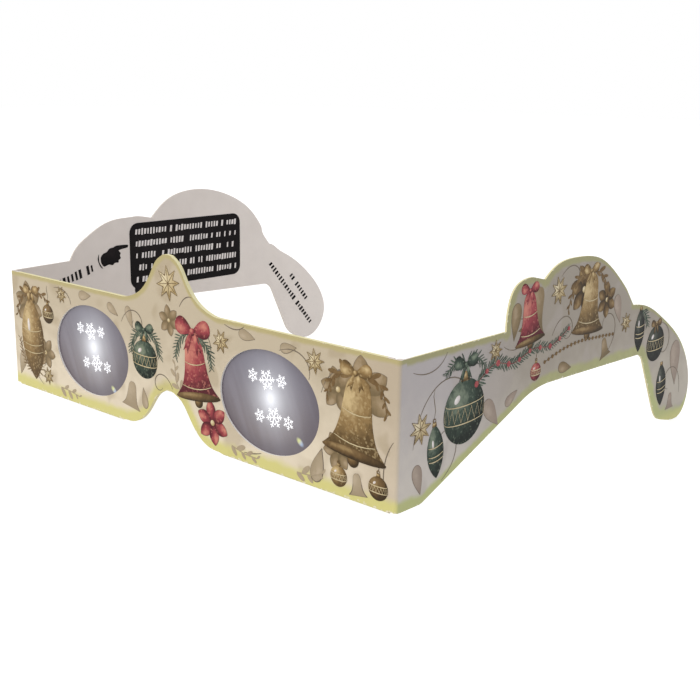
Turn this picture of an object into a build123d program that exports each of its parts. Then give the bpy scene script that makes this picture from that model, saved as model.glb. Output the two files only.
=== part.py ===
from build123d import *
from collections import namedtuple
from math import sqrt
import os

# Paper diffraction glasses: one die-cut sheet of card with a light-bending film in each window.
# The sheet folds into a front panel, a flap glued behind it, and two temples with ear hooks.
# Millimetres. The front lies along X and looks towards -Y, the temples run back along +Y, Z is up.
# Left and right are the wearer's own, so the left temple is the one at +X.
# While it is drawn, height zero is the front's straight top edge and y zero is its printed face.

# The sheet and what lies inside it
card_thickness = 0.45
film_thickness = 0.10
film_lap = 2.0
film_margin = 2.5
film_corner = 1.5

# The front panel
front_width = 145.0
front_height = 33.4
pupil_distance = 68.1
window_width = 32.4
window_height = 24.4
window_lowering = 0.2
peak_rise = 12.8
peak_flare = 1.3
notch_top_drop = 21.5
notch_flare = 1.0
nose_shift = -1.25

# The flap folded up behind the front
flap_setback = 2.2
flap_window_margin = 0.5
fold_end_run = 2.0

# The creases that the temples fold on
fold_gap = 0.10
crease_clearance = 0.08

# Both temples
neck_drop = 2.1
heel_run = 51.0
toe_run = 8.0
toe_radius = 4.0
heel_radius = 30.0
throat_radius = 4.5

# The left temple: a short steep first lobe, a long second lobe, then the ear hook
left_length = 135.6
left_shoulder_run = 37.4
left_shoulder_rise = 0.0
left_first_crown = 11.35
left_dip_run = 52.6
left_dip_rise = 10.15
left_second_crown = 13.9
left_neck_run = 97.1
left_hook_drop = 40.5
left_bar_drop = 15.4
left_throat_run = 103.8
left_throat_drop = 16.6

# The right temple: its first lobe starts sooner and rises gently, and its second lobe is taller
right_length = 130.8
right_shoulder_run = 19.6
right_shoulder_rise = 0.6
right_first_crown = 12.0
right_dip_run = 50.4
right_dip_rise = 11.2
right_second_crown = 19.0
right_neck_run = 102.1
right_hook_drop = 39.0
right_bar_drop = 14.9
right_throat_run = 102.0
right_throat_drop = 16.3

# One overrun for every cut that has to pass right through
overrun = 2.0

# Curve points as shares: across and up, of a half width and a rise, from the foot to the top
peak_shares = [(0.85, 0.035), (0.60, 0.19), (0.45, 0.39), (0.33, 0.64), (0.20, 0.885), (0.10, 0.975)]
notch_shares = [(0.78, 0.04), (0.625, 0.17), (0.485, 0.385), (0.35, 0.675), (0.205, 0.90), (0.10, 0.98)]

# Lobe points as shares: along, of the lobe's own run, and up, of its crown
left_first_shares = [(0.02, 0.39), (0.19, 0.86), (0.60, 1.0)]
left_second_shares = [(0.12, 0.94), (0.335, 1.0), (0.527, 0.935), (0.717, 0.65), (0.888, 0.235)]
right_first_shares = [(0.086, 0.37), (0.21, 0.61), (0.37, 0.84), (0.57, 0.98), (0.75, 1.0)]
right_second_shares = [(0.126, 0.87), (0.30, 1.0), (0.476, 0.98), (0.70, 0.78), (0.86, 0.46),
                       (0.925, 0.215)]

# Hook points as shares: along, of the run from neck to end, and down, of the drop from the neck
left_hook_shares = [(0.169, 0.026), (0.465, 0.158), (0.768, 0.358), (0.958, 0.60), (1.0, 0.81),
                    (0.909, 0.977), (0.79, 1.0), (0.585, 0.96), (0.405, 0.80)]
right_hook_shares = [(0.136, 0.055), (0.31, 0.13), (0.70, 0.347), (0.948, 0.588), (1.0, 0.737),
                     (0.91, 0.91), (0.71, 1.0), (0.457, 0.96), (0.276, 0.83)]

# The front is two cards thick with the film between them. A crease bead is as round as it must be
# for a temple to lie flush with the printed face when the sheet is flat, and to lie flat against
# the flap when it is folded in.
panel_thickness = 2 * card_thickness + film_thickness
crease_radius = (panel_thickness + card_thickness + fold_gap) / 2
crease_x = front_width / 2 - crease_radius
crease_y = crease_radius
fold_line = panel_thickness / 2 - front_height
bridge_width = pupil_distance - window_width
peak_half_width = (bridge_width + peak_flare) / 2
notch_half_width = (bridge_width + notch_flare) / 2
flap_half_width = front_width / 2 - flap_setback
window_drop = front_height / 2 + window_lowering

Temple = namedtuple("Temple", "length shoulder_run shoulder_rise first_crown dip_run dip_rise second_crown "
                              "neck_run hook_drop bar_drop throat_run throat_drop "
                              "first_shares second_shares hook_shares")
left_cut = Temple(left_length, left_shoulder_run, left_shoulder_rise, left_first_crown,
                  left_dip_run, left_dip_rise, left_second_crown, left_neck_run, left_hook_drop,
                  left_bar_drop, left_throat_run, left_throat_drop,
                  left_first_shares, left_second_shares, left_hook_shares)
right_cut = Temple(right_length, right_shoulder_run, right_shoulder_rise, right_first_crown,
                   right_dip_run, right_dip_rise, right_second_crown, right_neck_run, right_hook_drop,
                   right_bar_drop, right_throat_run, right_throat_drop,
                   right_first_shares, right_second_shares, right_hook_shares)


def bell(half_width, base, rise, shares):
    """Both halves of a smooth bump, level at its feet and at its top."""
    points = [(half_width * across, base + rise * up) for across, up in shares]
    half = Spline((half_width, base), *points, (0, base + rise), tangents=((-1, 0), (-1, 0)))
    return [Pos(nose_shift, 0) * edge for edge in (half, mirror(half, Plane.YZ))]


def panel_outline(half_width, below=0):
    """The front's outline seen from the front. It reaches below the fold line where that is asked,
    with ends cut on the slant towards the nose notch."""
    low = fold_line - below
    slant = fold_end_run * below / (panel_thickness / 2)
    edges = bell(peak_half_width, 0, peak_rise, peak_shares)
    edges += bell(notch_half_width, fold_line, -notch_top_drop - fold_line, notch_shares)
    for side in (1, -1):
        corners = [(nose_shift + side * peak_half_width, 0), (side * half_width, 0),
                   (side * half_width, low)]
        if below:
            corners.append((nose_shift + side * (notch_half_width + slant), low))
        corners.append((nose_shift + side * notch_half_width, fold_line))
        edges.append(Polyline(*corners))
    return make_face(edges)


def windows(shape):
    """The same flat shape at both eyes."""
    return [Pos(side * pupil_distance / 2, -window_drop) * shape for side in (1, -1)]


def upright(face, first, last):
    """A flat shape seen from the front, made solid from one distance behind the face to another."""
    return extrude(Pos(0, first, 0) * (Plane.XZ * face), amount=last - first, dir=(0, 1, 0))


def front_card():
    """The printed panel with a round crease bead at each end, drawn from above and cut to outline."""
    bead_meets_card = sqrt(crease_radius**2 - (crease_radius - card_thickness)**2)
    inner_x = crease_x - bead_meets_card
    plan = make_face([
        Line((-crease_x, 0), (crease_x, 0)),
        ThreePointArc((crease_x, 0), (crease_x + crease_radius, crease_y), (crease_x, 2 * crease_y)),
        bead_back(crease_x, inner_x),
        Line((inner_x, card_thickness), (-inner_x, card_thickness)),
        bead_back(-crease_x, -inner_x),
        ThreePointArc((-crease_x, 0), (-crease_x - crease_radius, crease_y),
                      (-crease_x, 2 * crease_y)),
    ])
    tall = extrude(Pos(0, 0, fold_line - overrun) * plan, amount=peak_rise - fold_line + 2 * overrun)
    outline = panel_outline(front_width / 2 + overrun)
    panel = tall & upright(outline, -overrun, 2 * crease_radius + overrun)
    eye = Ellipse(window_width / 2, window_height / 2)
    for hole in windows(eye):
        panel -= upright(hole, -overrun, card_thickness + overrun)
    return panel


def bead_back(axis_x, card_x):
    """The inner quarter of a bead seen from above, from its back to where it meets the card."""
    lean = (card_x - axis_x) / crease_radius
    middle = (axis_x + crease_radius * lean / abs(lean), crease_y)
    return ThreePointArc((axis_x, 2 * crease_y), middle, (card_x, card_thickness))


def back_card():
    """The flap behind the front, with the round folds that join it to the front's bottom edges."""
    half = panel_thickness / 2
    inner = film_thickness / 2
    top = peak_rise + overrun
    section = make_face([
        Line((panel_thickness, top), (panel_thickness, fold_line)),
        ThreePointArc((panel_thickness, fold_line), (half, fold_line - half), (0, fold_line)),
        Line((0, fold_line), (card_thickness, fold_line)),
        ThreePointArc((card_thickness, fold_line), (half, fold_line - inner),
                      (card_thickness + film_thickness, fold_line)),
        Line((card_thickness + film_thickness, fold_line), (card_thickness + film_thickness, top)),
        Line((card_thickness + film_thickness, top), (panel_thickness, top)),
    ])
    long = extrude(Plane.YZ * section, amount=flap_half_width + overrun, both=True)
    outline = panel_outline(flap_half_width, below=overrun)
    flap = long & upright(outline, -overrun, panel_thickness + overrun)
    eye = Ellipse(window_width / 2 + flap_window_margin, window_height / 2 + flap_window_margin)
    for hole in windows(eye):
        flap -= upright(hole, card_thickness, panel_thickness + overrun)
    return flap


def film_shape():
    return RectangleRounded(window_width + 2 * film_lap, front_height - 2 * film_margin, film_corner)


def films():
    """The two films, left eye first."""
    back = card_thickness + film_thickness
    return [upright(film, card_thickness, back) for film in windows(film_shape())]


def glue_layer():
    """The glue between the two cards, with a pocket that each film fills."""
    back = card_thickness + film_thickness
    glue = upright(panel_outline(flap_half_width), card_thickness, back)
    for film in windows(film_shape()):
        glue -= upright(film, card_thickness - overrun, back + overrun)
    return glue


def lobe(start, end, crown, shares, tangents):
    """A rounded rise of a temple's top edge, from one dip to the next."""
    run = end[0] - start[0]
    points = [(start[0] + run * along, crown * up) for along, up in shares]
    return Spline(start, *points, end, tangents=tangents)


def temple_outline(cut, first_lean, second_lean):
    """A temple seen from its side: back along the first axis, up along the second."""
    root = (crease_y, 0)
    shoulder = (cut.shoulder_run, cut.shoulder_rise)
    dip = (cut.dip_run, cut.dip_rise)
    neck = (cut.neck_run, -neck_drop)
    throat = (cut.throat_run, -cut.throat_drop)
    run = cut.length - cut.neck_run
    drop = cut.hook_drop - neck_drop
    hook = [(cut.neck_run + run * along, -neck_drop - drop * down) for along, down in cut.hook_shares]
    inside = hook[-1]
    up_the_throat = (throat[0] - inside[0], throat[1] - inside[1])
    edges = [
        Line(root, shoulder),
        lobe(shoulder, dip, cut.first_crown, cut.first_shares, (first_lean, (1, -0.2))),
        lobe(dip, neck, cut.second_crown, cut.second_shares, (second_lean, (1, -1.1))),
        Spline(neck, *hook, tangents=((1, -0.1), up_the_throat)),
        FilletPolyline(inside, throat, (heel_run, -cut.bar_drop), (toe_run, fold_line),
                       (crease_y, fold_line), radius=[throat_radius, heel_radius, toe_radius]),
        Line((crease_y, fold_line), root),
    ]
    return make_face(edges)


def temple(side, cut, first_lean, second_lean):
    """One card thick, with its root hollowed to turn on the bead without touching it."""
    face = Plane.YZ * temple_outline(cut, first_lean, second_lean)
    inner_x = front_width / 2 - card_thickness
    start = inner_x if side > 0 else -front_width / 2
    arm = extrude(Pos(start, 0, 0) * face, amount=card_thickness, dir=(1, 0, 0))
    tall = peak_rise - fold_line + 2 * overrun
    swept = Cylinder(crease_radius + crease_clearance, tall)
    return arm - Pos(side * crease_x, crease_y, (peak_rise + fold_line) / 2) * swept


left_film, right_film = films()
pieces = {
    "front_card": front_card(),
    "back_card": back_card(),
    "glue_layer": glue_layer(),
    "left_film": left_film,
    "right_film": right_film,
    "left_temple": temple(1, left_cut, first_lean=(0, 1), second_lean=(1, 0.8)),
    "right_temple": temple(-1, right_cut, first_lean=(0.5, 1), second_lean=(1, 1)),
}

# The finished part stands with the middle of its footprint at the origin and its hooks at z zero
box = Compound(children=[Part() + piece for piece in pieces.values()]).bounding_box()
place = Pos(0, -(box.min.Y + box.max.Y) / 2, -box.min.Z)

os.makedirs("parts", exist_ok=True)
for name, piece in pieces.items():
    export_step(place * Part(piece.wrapped, label=name), f"parts/{name}.step")

print("size", box.size)
print("top edge at z", place.position.Z, "printed face at y", place.position.Y)
print("crease axes at x", crease_x, "y", place.position.Y + crease_y)
print("crease bead radius", crease_radius, "front thickness", panel_thickness)
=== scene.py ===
# %% [markdown]
# # Paper diffraction glasses
# The real glasses are one sheet of die-cut card with a shiny light-bending film in each window.
# Their card, films and creases come from the fixed frame, at their real size, and stay as they are.
# This lesson adds what a printing house adds: ink, varnish, cut edges and the glow of the film.

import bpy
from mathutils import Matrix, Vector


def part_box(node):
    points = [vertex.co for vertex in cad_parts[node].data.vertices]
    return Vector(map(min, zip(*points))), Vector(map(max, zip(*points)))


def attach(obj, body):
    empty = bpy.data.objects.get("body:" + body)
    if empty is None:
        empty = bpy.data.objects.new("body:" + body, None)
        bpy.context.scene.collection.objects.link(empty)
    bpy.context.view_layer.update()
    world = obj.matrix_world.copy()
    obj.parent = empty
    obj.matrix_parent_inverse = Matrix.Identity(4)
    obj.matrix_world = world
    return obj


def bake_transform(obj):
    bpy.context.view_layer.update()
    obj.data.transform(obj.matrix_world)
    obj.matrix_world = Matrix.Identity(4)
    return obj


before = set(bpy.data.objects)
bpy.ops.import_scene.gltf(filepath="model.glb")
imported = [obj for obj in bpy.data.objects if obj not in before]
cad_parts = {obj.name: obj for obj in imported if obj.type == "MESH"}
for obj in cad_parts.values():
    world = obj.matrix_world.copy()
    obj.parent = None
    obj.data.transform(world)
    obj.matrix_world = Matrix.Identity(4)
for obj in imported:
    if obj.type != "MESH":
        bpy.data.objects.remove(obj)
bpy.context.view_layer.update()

# %% [markdown]
# ## Measures of the card
# Every piece below is placed from the frame's own boxes, so it fits the card without any trying.
# The only sizes repeated here are those that no box shows: how far the nose peak rises above the
# straight top edge, how large the oval windows are, and how round the bead at each crease is.

# %% Measure the card
from math import cos, e, pi, radians, sin, tau

mm = 0.001
peak_rise = 12.8 * mm
window_width, window_height = 32.4 * mm, 24.4 * mm
crease_radius = 0.775 * mm

front_low, front_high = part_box("front_card")
half_width = front_high.x
printed_face = front_low.y
top_edge = front_high.z - peak_rise
fold_line = front_low.z
low_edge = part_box("back_card")[0].z
front_height = top_edge - low_edge
card_thickness = half_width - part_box("left_temple")[0].x
crease_x, crease_y = half_width - crease_radius, printed_face + crease_radius
window_centres = [sum(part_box(film), start=front_low * 0) / 2 for film in ("left_film", "right_film")]
print(f"front {2 * half_width / mm:.1f} mm wide, {front_height / mm:.1f} mm high,"
      f" card {card_thickness / mm:.2f} mm thick")

# %% [markdown]
# ## The camera
# The glasses were seen from the front and their left, a little above. The camera's place, its
# turns and its focal length were worked out from the corners, windows and top edges of the front
# and both temples, with the front taken as 145 mm wide. It comes first, so that every later step
# can be compared with what the eye expects.

# %% Set the camera
import bpy
from mathutils import Matrix, Vector

picture_width = 700
focal_length_in_pixels = 1079.3
yaw, pitch, roll = radians(-41.87), radians(13.86), radians(1.0)
eye = Vector((204.45 * mm, printed_face - 162.5 * mm, top_edge + 53.65 * mm))


def put(name, data):
    """A new object in the scene, made of a mesh, a lamp or a camera."""
    thing = bpy.data.objects.new(name, data)
    bpy.context.scene.collection.objects.link(thing)
    return thing


forward = Vector((sin(yaw) * cos(pitch), cos(yaw) * cos(pitch), -sin(pitch)))
level = Vector((cos(yaw), -sin(yaw), 0))
upward = level.cross(forward)
right = cos(roll) * level + sin(roll) * upward
top = cos(roll) * upward - sin(roll) * level

camera = put("camera", bpy.data.cameras.new("camera"))
camera.matrix_world = Matrix.Translation(eye) @ Matrix((right, top, -forward)).transposed().to_4x4()
camera.data.sensor_fit = "HORIZONTAL"
camera.data.lens = camera.data.sensor_width * focal_length_in_pixels / picture_width
camera.data.clip_start = 10 * mm
bpy.context.scene.camera = camera
between_windows = (window_centres[0] + window_centres[1]) / 2
print(f"lens {camera.data.lens:.1f} mm, eye {(eye - between_windows).length:.3f} m away")

# %% [markdown]
# ## Colours and nodes
# Colours are written as the hex values that a paint program shows, and one function turns them into
# the linear numbers that Blender mixes light with. One more function adds a node. What it is given
# goes to the sockets that the node's settings leave open, in their order or by their names: a
# colour or a number is set, and a socket, a node, or a list of them becomes a link.

# %% Helpers for materials
def paint(hex_colour):
    """A hex colour as linear red, green, blue and a full alpha."""
    shares = [int(hex_colour[i:i + 2], 16) / 255 for i in (1, 3, 5)]
    return [s / 12.92 if s <= 0.04045 else ((s + 0.055) / 1.055) ** 2.4 for s in shares] + [1.0]


def add(tree, kind, inputs=(), **settings):
    """Adds a node with its settings, its socket values and its links. A node links its first output."""
    node = tree.nodes.new(kind)
    for name, value in settings.items():
        setattr(node, name, value)
    sockets = [socket for socket in node.inputs if socket.enabled]
    if isinstance(inputs, dict):
        sockets = [next(socket for socket in sockets if socket.name == name) for name in inputs]
        inputs = inputs.values()
    for socket, value in zip(sockets, inputs):
        sources = [next(o for o in v.outputs if o.enabled) if isinstance(v, bpy.types.Node) else v
                   for v in (value if isinstance(value, list) else [value])
                   if isinstance(v, (bpy.types.Node, bpy.types.NodeSocket))]
        for source in sources:
            tree.links.new(source, socket)
        if not sources:
            socket.default_value = paint(value) if isinstance(value, str) and value[0] == "#" else value
    return node


def new_material(name):
    """An empty material that uses nodes, and its node tree."""
    material = bpy.data.materials.new(name)
    material.use_nodes = True
    material.node_tree.nodes.clear()
    return material, material.node_tree


def reach_from(tree, place, middle, scale, lean=0.0):
    """How far a spot lies from a middle once each axis is scaled, and its place there."""
    local = add(tree, "ShaderNodeVectorMath", [place, middle], operation="SUBTRACT")
    if lean:
        local = add(tree, "ShaderNodeVectorRotate", {"Vector": local, "Axis": (0, 1, 0), "Angle": lean})
    scaled = add(tree, "ShaderNodeVectorMath", [local, scale], operation="MULTIPLY")
    return add(tree, "ShaderNodeVectorMath", [scaled], operation="LENGTH"), scaled


print("cream", [round(c, 3) for c in paint("#D9CBB9")])

# %% [markdown]
# ## Floor, light and backdrop
# The glasses were shown on plain white. The floor is pale and matte, and the camera sees it, and
# the world behind it, a little brighter than the object does, so that both turn white while the
# lamps stay at a plain level. The floor still darkens a little where the glasses keep light off it.

# %% Make the floor, the world and the lamps
floor_size = 6.0
world_light = 0.62
floor_glow = 0.77


def seen_directly(tree):
    """1 for rays from the eye, a mirror or a glass, and 0 for light that reaches the object."""
    path = add(tree, "ShaderNodeLightPath").outputs
    either = add(tree, "ShaderNodeMath", [path["Is Camera Ray"], path["Is Glossy Ray"]], operation="MAXIMUM")
    return add(tree, "ShaderNodeMath", [either, path["Is Transmission Ray"]], operation="MAXIMUM")


def pale_floor():
    material, tree = new_material("pale_matte_paper_floor")
    matte = add(tree, "ShaderNodeBsdfDiffuse", ["#E6E4E1"])
    shaded = add(tree, "ShaderNodeBsdfDiffuse", ["#AAA9A8"])
    glow = add(tree, "ShaderNodeEmission", ["#FFFFFF", floor_glow])
    bright = add(tree, "ShaderNodeAddShader", [shaded, glow])
    both = add(tree, "ShaderNodeMixShader", [seen_directly(tree), matte, bright])
    add(tree, "ShaderNodeOutputMaterial", [both])
    return material


def area_lamp(name, place, power, colour, size=0.9):
    """A large soft lamp that looks at the middle of the glasses."""
    lamp = bpy.data.lights.new(name, "AREA")
    lamp.energy, lamp.size, lamp.color = power, size, paint(colour)[:3]
    holder = put(name, lamp)
    holder.location = place
    holder.rotation_euler = (Vector((0, 0, front_height)) - holder.location).to_track_quat("-Z", "Y").to_euler()


half = floor_size / 2
floor_mesh = bpy.data.meshes.new("floor")
floor_mesh.from_pydata([(-half, -half, 0), (half, -half, 0), (half, half, 0), (-half, half, 0)], [],
                       [(0, 1, 2, 3)])
floor_mesh.materials.append(pale_floor())
put("floor", floor_mesh)

world = bpy.data.worlds.new("pale_backdrop")
world.use_nodes = True
sky = world.node_tree
sky.nodes.clear()
strength = add(sky, "ShaderNodeMapRange", {"Value": seen_directly(sky), "To Min": world_light, "To Max": 1.0})
add(sky, "ShaderNodeOutputWorld", [add(sky, "ShaderNodeBackground", ["#FFFFFF", strength])])
bpy.context.scene.world = world
bpy.context.scene.view_settings.view_transform = "Standard"

area_lamp("window_light", (-0.35, -0.85, 0.75), 7.5, "#FFF6EA")
area_lamp("side_fill", (1.0, 0.05, 0.45), 2.2, "#E6EAFF")
area_lamp("back_fill", (-0.2, 1.0, 0.6), 3.0, "#FFFFFF")

# %% [markdown]
# ## The bare card
# The sheet is folding boxboard: pulp pressed flat and coated with clay on both sides. Its inner side
# is left unprinted, a pinkish grey white with a faint cloudiness of pulp, and neither shiny nor
# quite matte. Its sides are painted greyer at the front and lighter behind it, along the temples:
# painted shade and light. Where the die cut it, the uncoated core shows rougher, with the layers of
# pulp running along the edge. On the front and the left temple, ink bled into the cut and tinged it
# yellow. The rims of the windows have none of that yellow, and are painted near white, brighter than
# the bare core, as painted light on the lit cut edge. One material does it all, because a cut edge
# looks sideways and a side of the sheet doesn't: the direction that a spot faces tells them apart.
# Its place tells the rims, and the ends at the creases, which are no cut edges and keep the colour
# of the sides.

# %% Material of the bare card
pulp_cloud = 6 * mm
fibre_width = 0.35 * mm
layer_thickness = 0.12 * mm
# Where each change starts and ends: into a cut edge as a spot looks less along the sheet's facing,
# out of a crease with the distance from its axis, and into a window's rim, whose edge lies at 1
cut_facing, crease_reach, rim_reach = (0.75, 0.60), (2.6 * mm, 3.4 * mm), (1.15, 1.08)
white_core, tinged_core = ("#CBC5BE", "#DED8D1"), ("#D2CC9B", "#EAE4BF")


def coated_card(name, facing, core_colours, windows=()):
    """Clay-coated boxboard whose two sides look along the axis called facing, with windows cut in it."""
    material, tree = new_material(name)
    coords = add(tree, "ShaderNodeTexCoord").outputs
    place = coords["Object"]
    split = add(tree, "ShaderNodeSeparateXYZ", [coords["Normal"]]).outputs
    looking = add(tree, "ShaderNodeMath", [split[facing]], operation="ABSOLUTE")
    cut = add(tree, "ShaderNodeMapRange", [looking, *cut_facing])
    for side in (1, -1):
        reach, _ = reach_from(tree, place, (side * crease_x, crease_y, 0), (1, 1, 0))
        off_crease = add(tree, "ShaderNodeMapRange", [reach, *crease_reach])
        cut = add(tree, "ShaderNodeMath", [cut, off_crease], operation="MULTIPLY")

    cloud = add(tree, "ShaderNodeTexNoise", {"Vector": place, "Scale": 1 / pulp_cloud, "Detail": 4.0})
    # Painted shade and light: the sides are greyer at the front and lighter behind it.
    painted_shade_side, painted_light_side = (add(tree, "ShaderNodeMix", [cloud, low, high], data_type="RGBA")
                      for low, high in (("#CCC3BB", "#DAD2CB"), ("#DFD8D1", "#EDE6DF")))
    along = add(tree, "ShaderNodeSeparateXYZ", [place]).outputs["Y"]
    back = add(tree, "ShaderNodeMapRange", [along, printed_face, -printed_face])
    side = add(tree, "ShaderNodeMix", [back, painted_shade_side, painted_light_side], data_type="RGBA")

    scale = [1 / (8 * fibre_width)] * 3
    scale["XYZ".index(facing)] = 1 / layer_thickness
    layers = add(tree, "ShaderNodeMapping", {"Vector": place, "Scale": scale})
    streak = add(tree, "ShaderNodeTexNoise", {"Vector": layers, "Scale": 1.0, "Detail": 3.0})
    core = add(tree, "ShaderNodeMix", [streak, *core_colours], data_type="RGBA")
    # Painted light: each window's rim is painted near white, brighter than the bare core, as a lit cut edge.
    for middle in windows:
        reach, _ = reach_from(tree, place, middle, (2 / window_width, 0, 2 / window_height))
        painted_light_on_rim = add(tree, "ShaderNodeMapRange", [reach, *rim_reach])
        core = add(tree, "ShaderNodeMix", [painted_light_on_rim, core, "#F9F7F3"], data_type="RGBA")

    colour = add(tree, "ShaderNodeMix", [cut, side, core], data_type="RGBA")
    rough = add(tree, "ShaderNodeMapRange", {"Value": cut, "To Min": 0.52, "To Max": 0.85})
    fibre = add(tree, "ShaderNodeTexNoise", {"Vector": place, "Scale": 1 / fibre_width, "Detail": 5.0})
    relief = add(tree, "ShaderNodeBump", {"Strength": 0.18, "Distance": 0.03 * mm, "Height": fibre})
    shader = add(tree, "ShaderNodeBsdfPrincipled", {"Base Color": colour, "Roughness": rough,
                                                    "Normal": relief, "Specular IOR Level": 0.2})
    add(tree, "ShaderNodeOutputMaterial", [shader])
    return material


def dress_node(node, material):
    """Gives a CAD node's own object another finish, and leaves its shape alone."""
    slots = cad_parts[node].material_slots
    for each in slots:
        each.material = material
    print(node, "now has", material.name, "in", len(slots), "slots")


for node, finish, facing, core_colours, windows in (
        ("front_card", "clay_coated_boxboard_front", "Y", tinged_core, window_centres),
        ("left_temple", "clay_coated_boxboard_left_temple", "X", tinged_core, ()),
        ("right_temple", "clay_coated_boxboard_right_temple", "X", white_core, ()),
        ("back_card", "clay_coated_boxboard_flap", "Y", tinged_core, window_centres),
        ("glue_layer", "dried_white_glue", "Y", tinged_core, window_centres)):
    dress_node(node, coated_card(finish, facing, core_colours, windows))

# %% [markdown]
# ## Panels to print on
# A printer works flat, so each printed side gets a flat drawing plane: millimetres to the right and
# up, with lifts towards the eye. A panel's matrix carries such a drawing to its place in the frame.
# Seen from outside, the left temple's drawing runs back from the crease to the right, and the right
# temple's runs back to the left.

# %% Lay out the panels
from collections import namedtuple

Panel = namedtuple("Panel", "body place")


def panel(body, origin, right_way):
    """A drawing plane with its origin on the card, upright, with its lifts pointing outwards."""
    up = Vector((0, 0, 1))
    turn = Matrix((right_way, up, right_way.cross(up))).transposed().to_4x4()
    return Panel(body, Matrix.Translation(origin) @ turn @ Matrix.Scale(mm, 4))


along_x, along_y = Vector((1, 0, 0)), Vector((0, 1, 0))
panels = {
    "front": panel("front", (0, printed_face, top_edge), along_x),
    "left_temple": panel("left_arm", (half_width, printed_face, top_edge), along_y),
    "right_temple": panel("right_arm", (-half_width, printed_face, top_edge), -along_y),
    "right_inside": panel("right_arm", (card_thickness - half_width, printed_face, top_edge), along_y),
}
for name, each in panels.items():
    print(name, "rides on", each.body, "and looks along", [round(c) for c in each.place.col[2].xyz / mm])

# %% [markdown]
# ## The printed skin
# Ink and varnish lie on the card as one thin skin. It is copied from the printed side of each card
# and cut into a grid of about half a millimetre, fine enough to carry one number to every spot: how far
# the spot lies from the card's edge, as a share of the coloured border there. The border is wide
# where the edge looks down and thin where it looks up, as if sprayed from below, and a little wider
# on the temples and their hooks. The print also slipped sideways under the die, so the border is
# wider on edges that look left and thinner, or gone, on those that look right. Each skin is a closed
# shell a few hundredths of a millimetre thick.

# %% Helpers that make thin closed shells
import bmesh
import numpy as np

skin_thickness, ink_thickness = 0.03 * mm, 0.02 * mm
grid_step, same_spot = 0.6 * mm, 0.0006 * mm
same_way = 0.999


def closed_shell(name, low, high, faces):
    """Closes an open sheet: faces on top, the same ones turned over below, and a rim all round."""
    count = len(low)
    sides = {(a, b) for face in faces for a, b in zip(face, face[1:] + face[:1])}
    rim = [(b + count, a + count, a, b) for a, b in sorted(sides) if (b, a) not in sides]
    above = [tuple(i + count for i in face) for face in faces]
    below = [tuple(reversed(face)) for face in faces]
    mesh = bpy.data.meshes.new(name)
    mesh.from_pydata([tuple(p) for p in low] + [tuple(p) for p in high], [], above + below + rim)
    return mesh


def note(mesh, name, numbers, kind="FLOAT"):
    """Keeps a number, or a vector, for every point of a mesh under a name."""
    attribute = mesh.attributes.new(name, kind, "POINT")
    field = "value" if kind == "FLOAT" else "vector"
    attribute.data.foreach_set(field, np.array(numbers, np.float32).ravel())


def show(name, mesh, body):
    """Puts a finished mesh in the scene as a piece that moves with a body."""
    piece = put(name, mesh)
    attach(piece, body)
    print(f"{name}: {len(mesh.vertices)} points, {len(mesh.polygons)} faces, rides on {body}")
    return piece


def sheet_from_node(node, keep):
    """The faces of a CAD node that keep() accepts, as a bmesh with joined corners."""
    sheet = bmesh.new()
    sheet.from_mesh(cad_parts[node].data)
    bmesh.ops.remove_doubles(sheet, verts=sheet.verts, dist=skin_thickness / 10)
    sheet.normal_update()
    bmesh.ops.delete(sheet, geom=[f for f in sheet.faces if not keep(f)], context="FACES")
    return sheet


def points_and_faces(sheet):
    """The points and faces of a bmesh, which is freed."""
    sheet.verts.index_update()
    points = [v.co.copy() for v in sheet.verts]
    faces = [tuple(v.index for v in face.verts) for face in sheet.faces]
    sheet.free()
    return points, faces


def cut_through(sheet, spot, direction, keep_both=True):
    """Cuts every face along a plane, and drops what lies past it unless both sides are kept."""
    everything = sheet.verts[:] + sheet.edges[:] + sheet.faces[:]
    bmesh.ops.bisect_plane(sheet, geom=everything, dist=same_spot, plane_co=spot, plane_no=direction,
                           clear_outer=not keep_both)


print(f"skins {skin_thickness / mm:.2f} mm thick, cut every {grid_step / mm:.1f} mm")

# %% The printed skins
crease_cover = 1.2 * mm
edge_spacing = 0.3 * mm
rim_margin = 0.1
# The border in millimetres, on edges that look up and down, how much wider it grows on the hooks,
# and how far the print slipped sideways
border_above, temple_border_above, border_below = 1.5, 2.2, 3.8
border_dip, thinnest_border = 1.6, 0.15
front_slip, temple_slip = 0.4, 1.8


def edge_points(sheet, outward, is_edge, slip, above):
    """Points along the sheet's outline, each with how wide the border is there, in metres."""
    found, to_the_right = [], Vector((0, 0, 1)).cross(outward)
    for edge in sheet.edges:
        a, b = (v.co for v in edge.verts)
        middle = (a + b) / 2
        if not edge.is_boundary or not is_edge(middle):
            continue
        away = (b - a).normalized().cross(outward)
        if away.dot(middle - edge.link_faces[0].calc_center_median()) < 0:
            away.negate()
        wide = border_above - slip * away.dot(to_the_right)
        wide += (border_below - border_above) * max(0.0, -away.z) + (above - border_above) * max(0.0, away.z)
        wide += border_dip * max(0.0, 1 - middle.z / low_edge)
        steps = max(1, round((b - a).length / edge_spacing))
        found += [(*a.lerp(b, (k + 0.5) / steps), max(thinnest_border, wide) * mm) for k in range(steps)]
    return np.array(found)


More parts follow.
